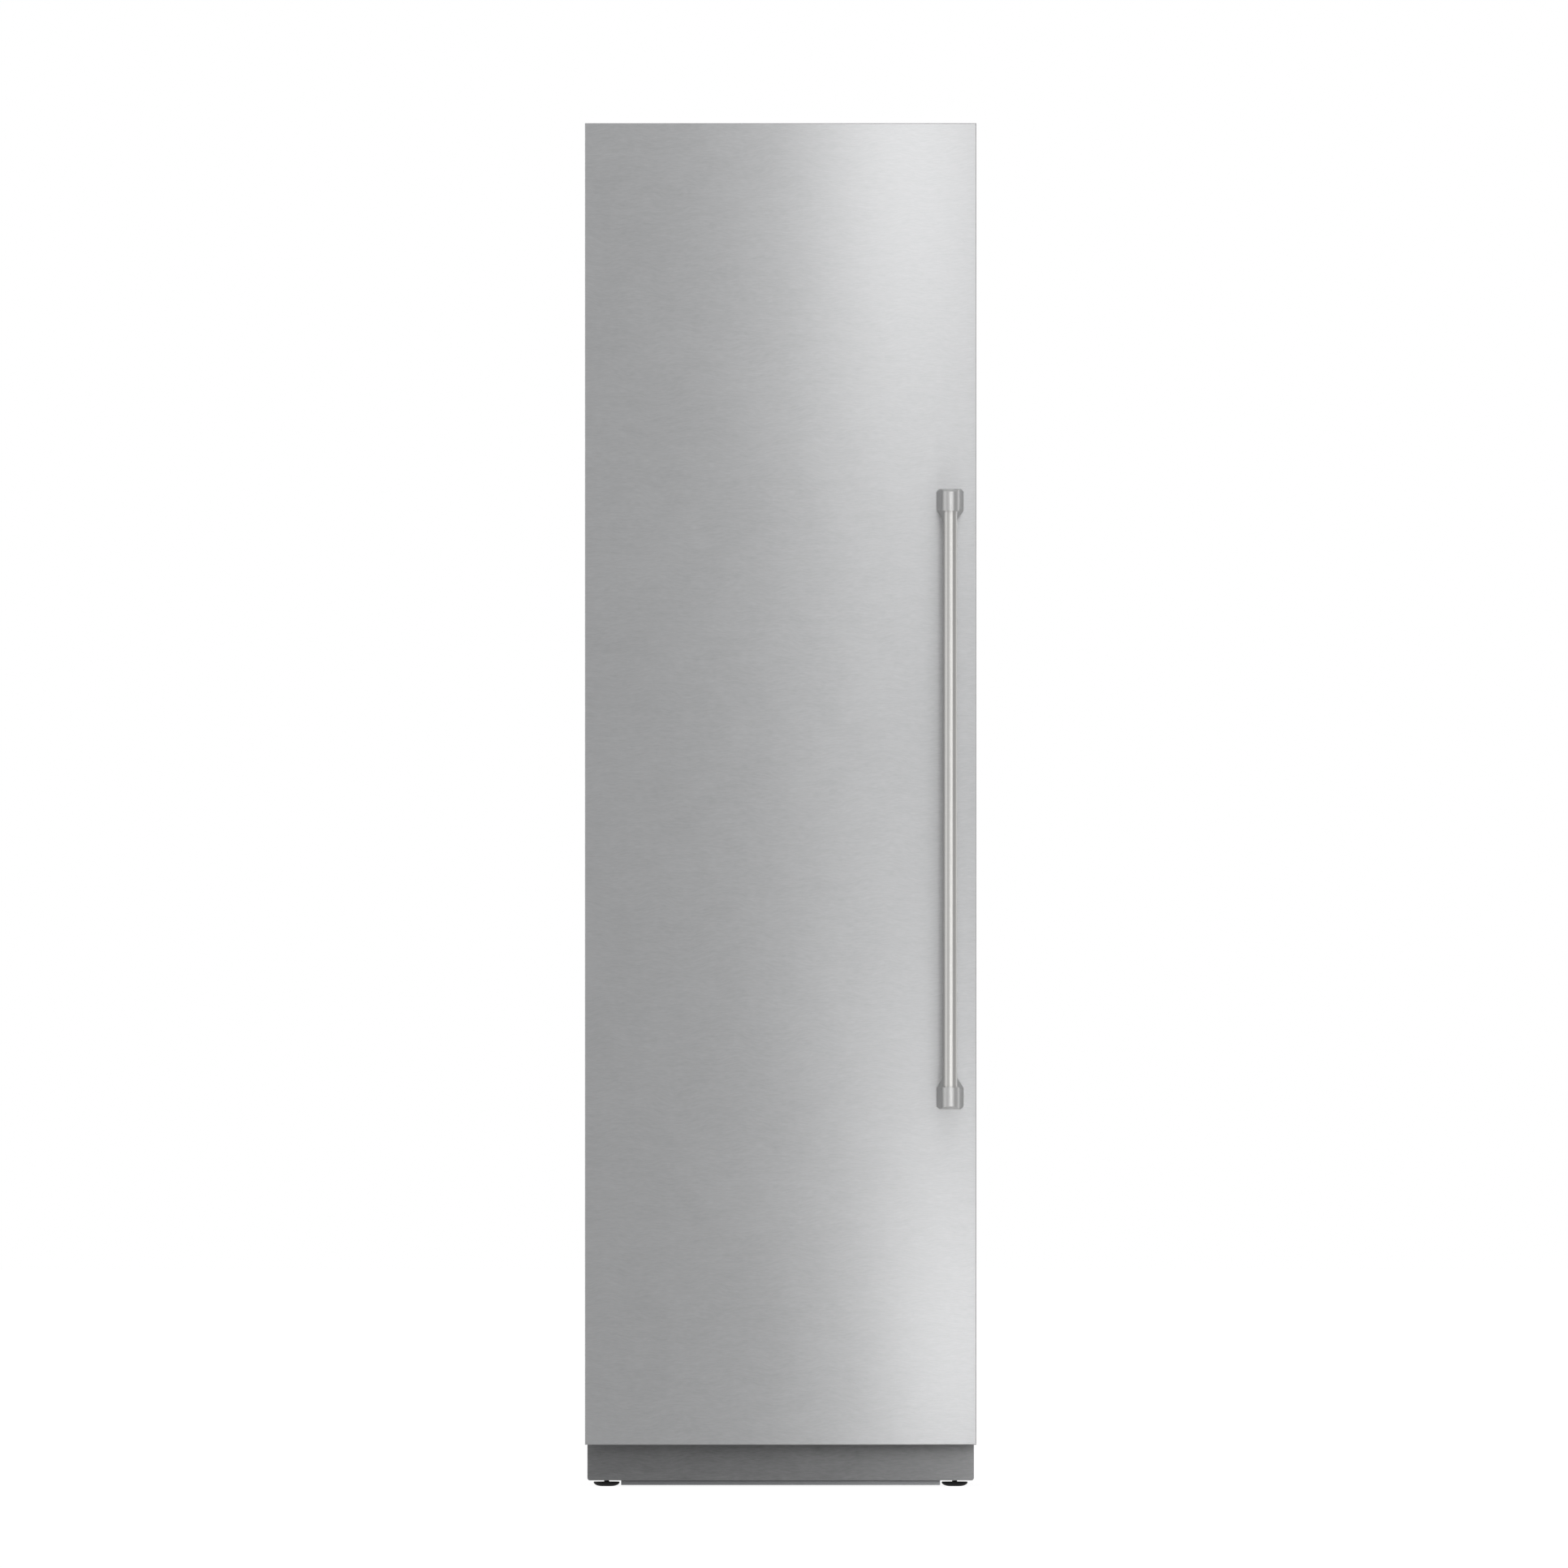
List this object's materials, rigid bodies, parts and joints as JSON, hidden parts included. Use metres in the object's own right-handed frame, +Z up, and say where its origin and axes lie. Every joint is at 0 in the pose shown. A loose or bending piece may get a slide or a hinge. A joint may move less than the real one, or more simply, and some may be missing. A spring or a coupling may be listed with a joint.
{
  "type": "built-in column freezer",
  "caption": "Tall built-in freezer column with a flat steel door, a vertical bar handle, a toe kick and levelling feet, with shelves, bins and cooling parts inside.",
  "frame": {"origin": "on the floor, under the middle of the whole object's box", "axes": "+X to the right seen from the front, +Y from the door to the back, +Z up"},
  "size_m": [0.603, 0.6928, 2.101],
  "materials": {
    "brushed_steel": "satin",
    "polished_steel": "polished",
    "kick_steel": "satin",
    "zinc_steel": "matte",
    "grey_paint": "matte",
    "black_paint": "satin",
    "white_plastic": "satin",
    "clear_plastic": "gloss",
    "dark_plastic": "matte",
    "shelf_glass": "gloss",
    "gasket_rubber": "matte",
    "black_rubber": "matte",
    "foam": "matte",
    "door_shell": "satin",
    "aluminium": "satin",
    "copper": "satin"
  },
  "bodies": {
    "cabinet": {"left_side_panel": "grey_paint", "right_side_panel": "grey_paint", "top_panel": "grey_paint", "back_panel": "grey_paint", "machine_divider": "zinc_steel", "cabinet_foam": "foam", "inner_liner": "white_plastic", "front_frame": "white_plastic", "top_hinge_bracket": "zinc_steel", "bottom_hinge_bracket": "zinc_steel", "toe_kick": "kick_steel", "base_tray": "zinc_steel", "base_frame": "zinc_steel", "glass_shelf_1": "shelf_glass", "glass_shelf_2": "shelf_glass", "glass_shelf_3": "shelf_glass", "glass_shelf_4": "shelf_glass", "right_bin_frame": "white_plastic", "left_bin_frame": "white_plastic", "evaporator_cover": "white_plastic", "evaporator_coil": "aluminium", "evaporator_fan_motor": "dark_plastic", "ice_maker": "white_plastic", "control_panel": "dark_plastic", "ceiling_light": "clear_plastic", "compressor": "black_paint", "condenser_coil": "black_paint", "condenser_fan_shroud": "dark_plastic", "drain_pan": "dark_plastic", "discharge_pipe": "copper", "suction_pipe": "copper", "machine_rear_cover": "zinc_steel", "power_inlet": "dark_plastic", "water_valve": "dark_plastic"},
    "door": {"door_panel": "brushed_steel", "door_core": "door_shell", "door_gasket": "gasket_rubber", "door_inner_liner": "white_plastic", "door_bin_1": "clear_plastic", "door_bin_2": "clear_plastic", "door_bin_3": "clear_plastic", "door_bin_4": "clear_plastic", "door_hinge_leaf_top": "zinc_steel", "door_hinge_leaf_bottom": "zinc_steel", "handle_bar": "polished_steel", "handle_bracket_top": "brushed_steel", "handle_bracket_bottom": "brushed_steel"},
    "lower_bin": {"freezer_bin_1": "clear_plastic"},
    "middle_bin": {"freezer_bin_2": "clear_plastic"},
    "upper_bin": {"freezer_bin_3": "clear_plastic"},
    "ice_drawer": {"ice_bin": "clear_plastic"},
    "cold_fan": {"evaporator_fan": "dark_plastic"},
    "warm_fan": {"condenser_fan": "dark_plastic"},
    "left_foot": {"left_foot_pad": "black_rubber", "left_foot_stud": "zinc_steel"},
    "right_foot": {"right_foot_pad": "black_rubber", "right_foot_stud": "zinc_steel"},
    "left_roller": {"left_roller_wheel": "dark_plastic"},
    "right_roller": {"right_roller_wheel": "dark_plastic"}
  },
  "joints": [
    {"name": "door_hinge", "type": "hinge", "parent": "cabinet", "child": "door", "pos_m": [-0.289, -0.2731, 1.084], "axis": [0, 0, -1], "range_deg": [0, 115]},
    {"name": "lower_bin_slide", "type": "slide", "parent": "cabinet", "child": "lower_bin", "axis": [0, -1, 0], "range_m": [0, 0.22]},
    {"name": "middle_bin_slide", "type": "slide", "parent": "cabinet", "child": "middle_bin", "axis": [0, -1, 0], "range_m": [0, 0.3]},
    {"name": "upper_bin_slide", "type": "slide", "parent": "cabinet", "child": "upper_bin", "axis": [0, -1, 0], "range_m": [0, 0.3]},
    {"name": "ice_bin_slide", "type": "slide", "parent": "cabinet", "child": "ice_drawer", "axis": [0, -1, 0], "range_m": [0, 0.25]},
    {"name": "evaporator_fan_spin", "type": "hinge", "parent": "cabinet", "child": "cold_fan", "pos_m": [0, 0.2384, 0.8955], "axis": [0, 1, 0], "continuous": true},
    {"name": "condenser_fan_spin", "type": "hinge", "parent": "cabinet", "child": "warm_fan", "pos_m": [-0.1417, 0.2564, 0.13315], "axis": [1, 0, 0], "continuous": true},
    {"name": "left_foot_screw", "type": "slide", "parent": "cabinet", "child": "left_foot", "axis": [0, 0, -1], "range_m": [0, 0.038]},
    {"name": "right_foot_screw", "type": "slide", "parent": "cabinet", "child": "right_foot", "axis": [0, 0, -1], "range_m": [0, 0.038]},
    {"name": "left_roller_spin", "type": "hinge", "parent": "cabinet", "child": "left_roller", "pos_m": [-0.225, 0.3024, 0.015], "axis": [1, 0, 0], "continuous": true},
    {"name": "right_roller_spin", "type": "hinge", "parent": "cabinet", "child": "right_roller", "pos_m": [0.225, 0.3024, 0.015], "axis": [1, 0, 0], "continuous": true}
  ],
  "couplings": [
    {"joint": "lower_bin_slide", "follows": "door_hinge", "m_per_rad": 0.0747},
    {"joint": "middle_bin_slide", "follows": "door_hinge", "m_per_rad": 0.0747},
    {"joint": "upper_bin_slide", "follows": "door_hinge", "m_per_rad": 0.0747},
    {"joint": "ice_bin_slide", "follows": "door_hinge", "m_per_rad": 0.0747}
  ]
}
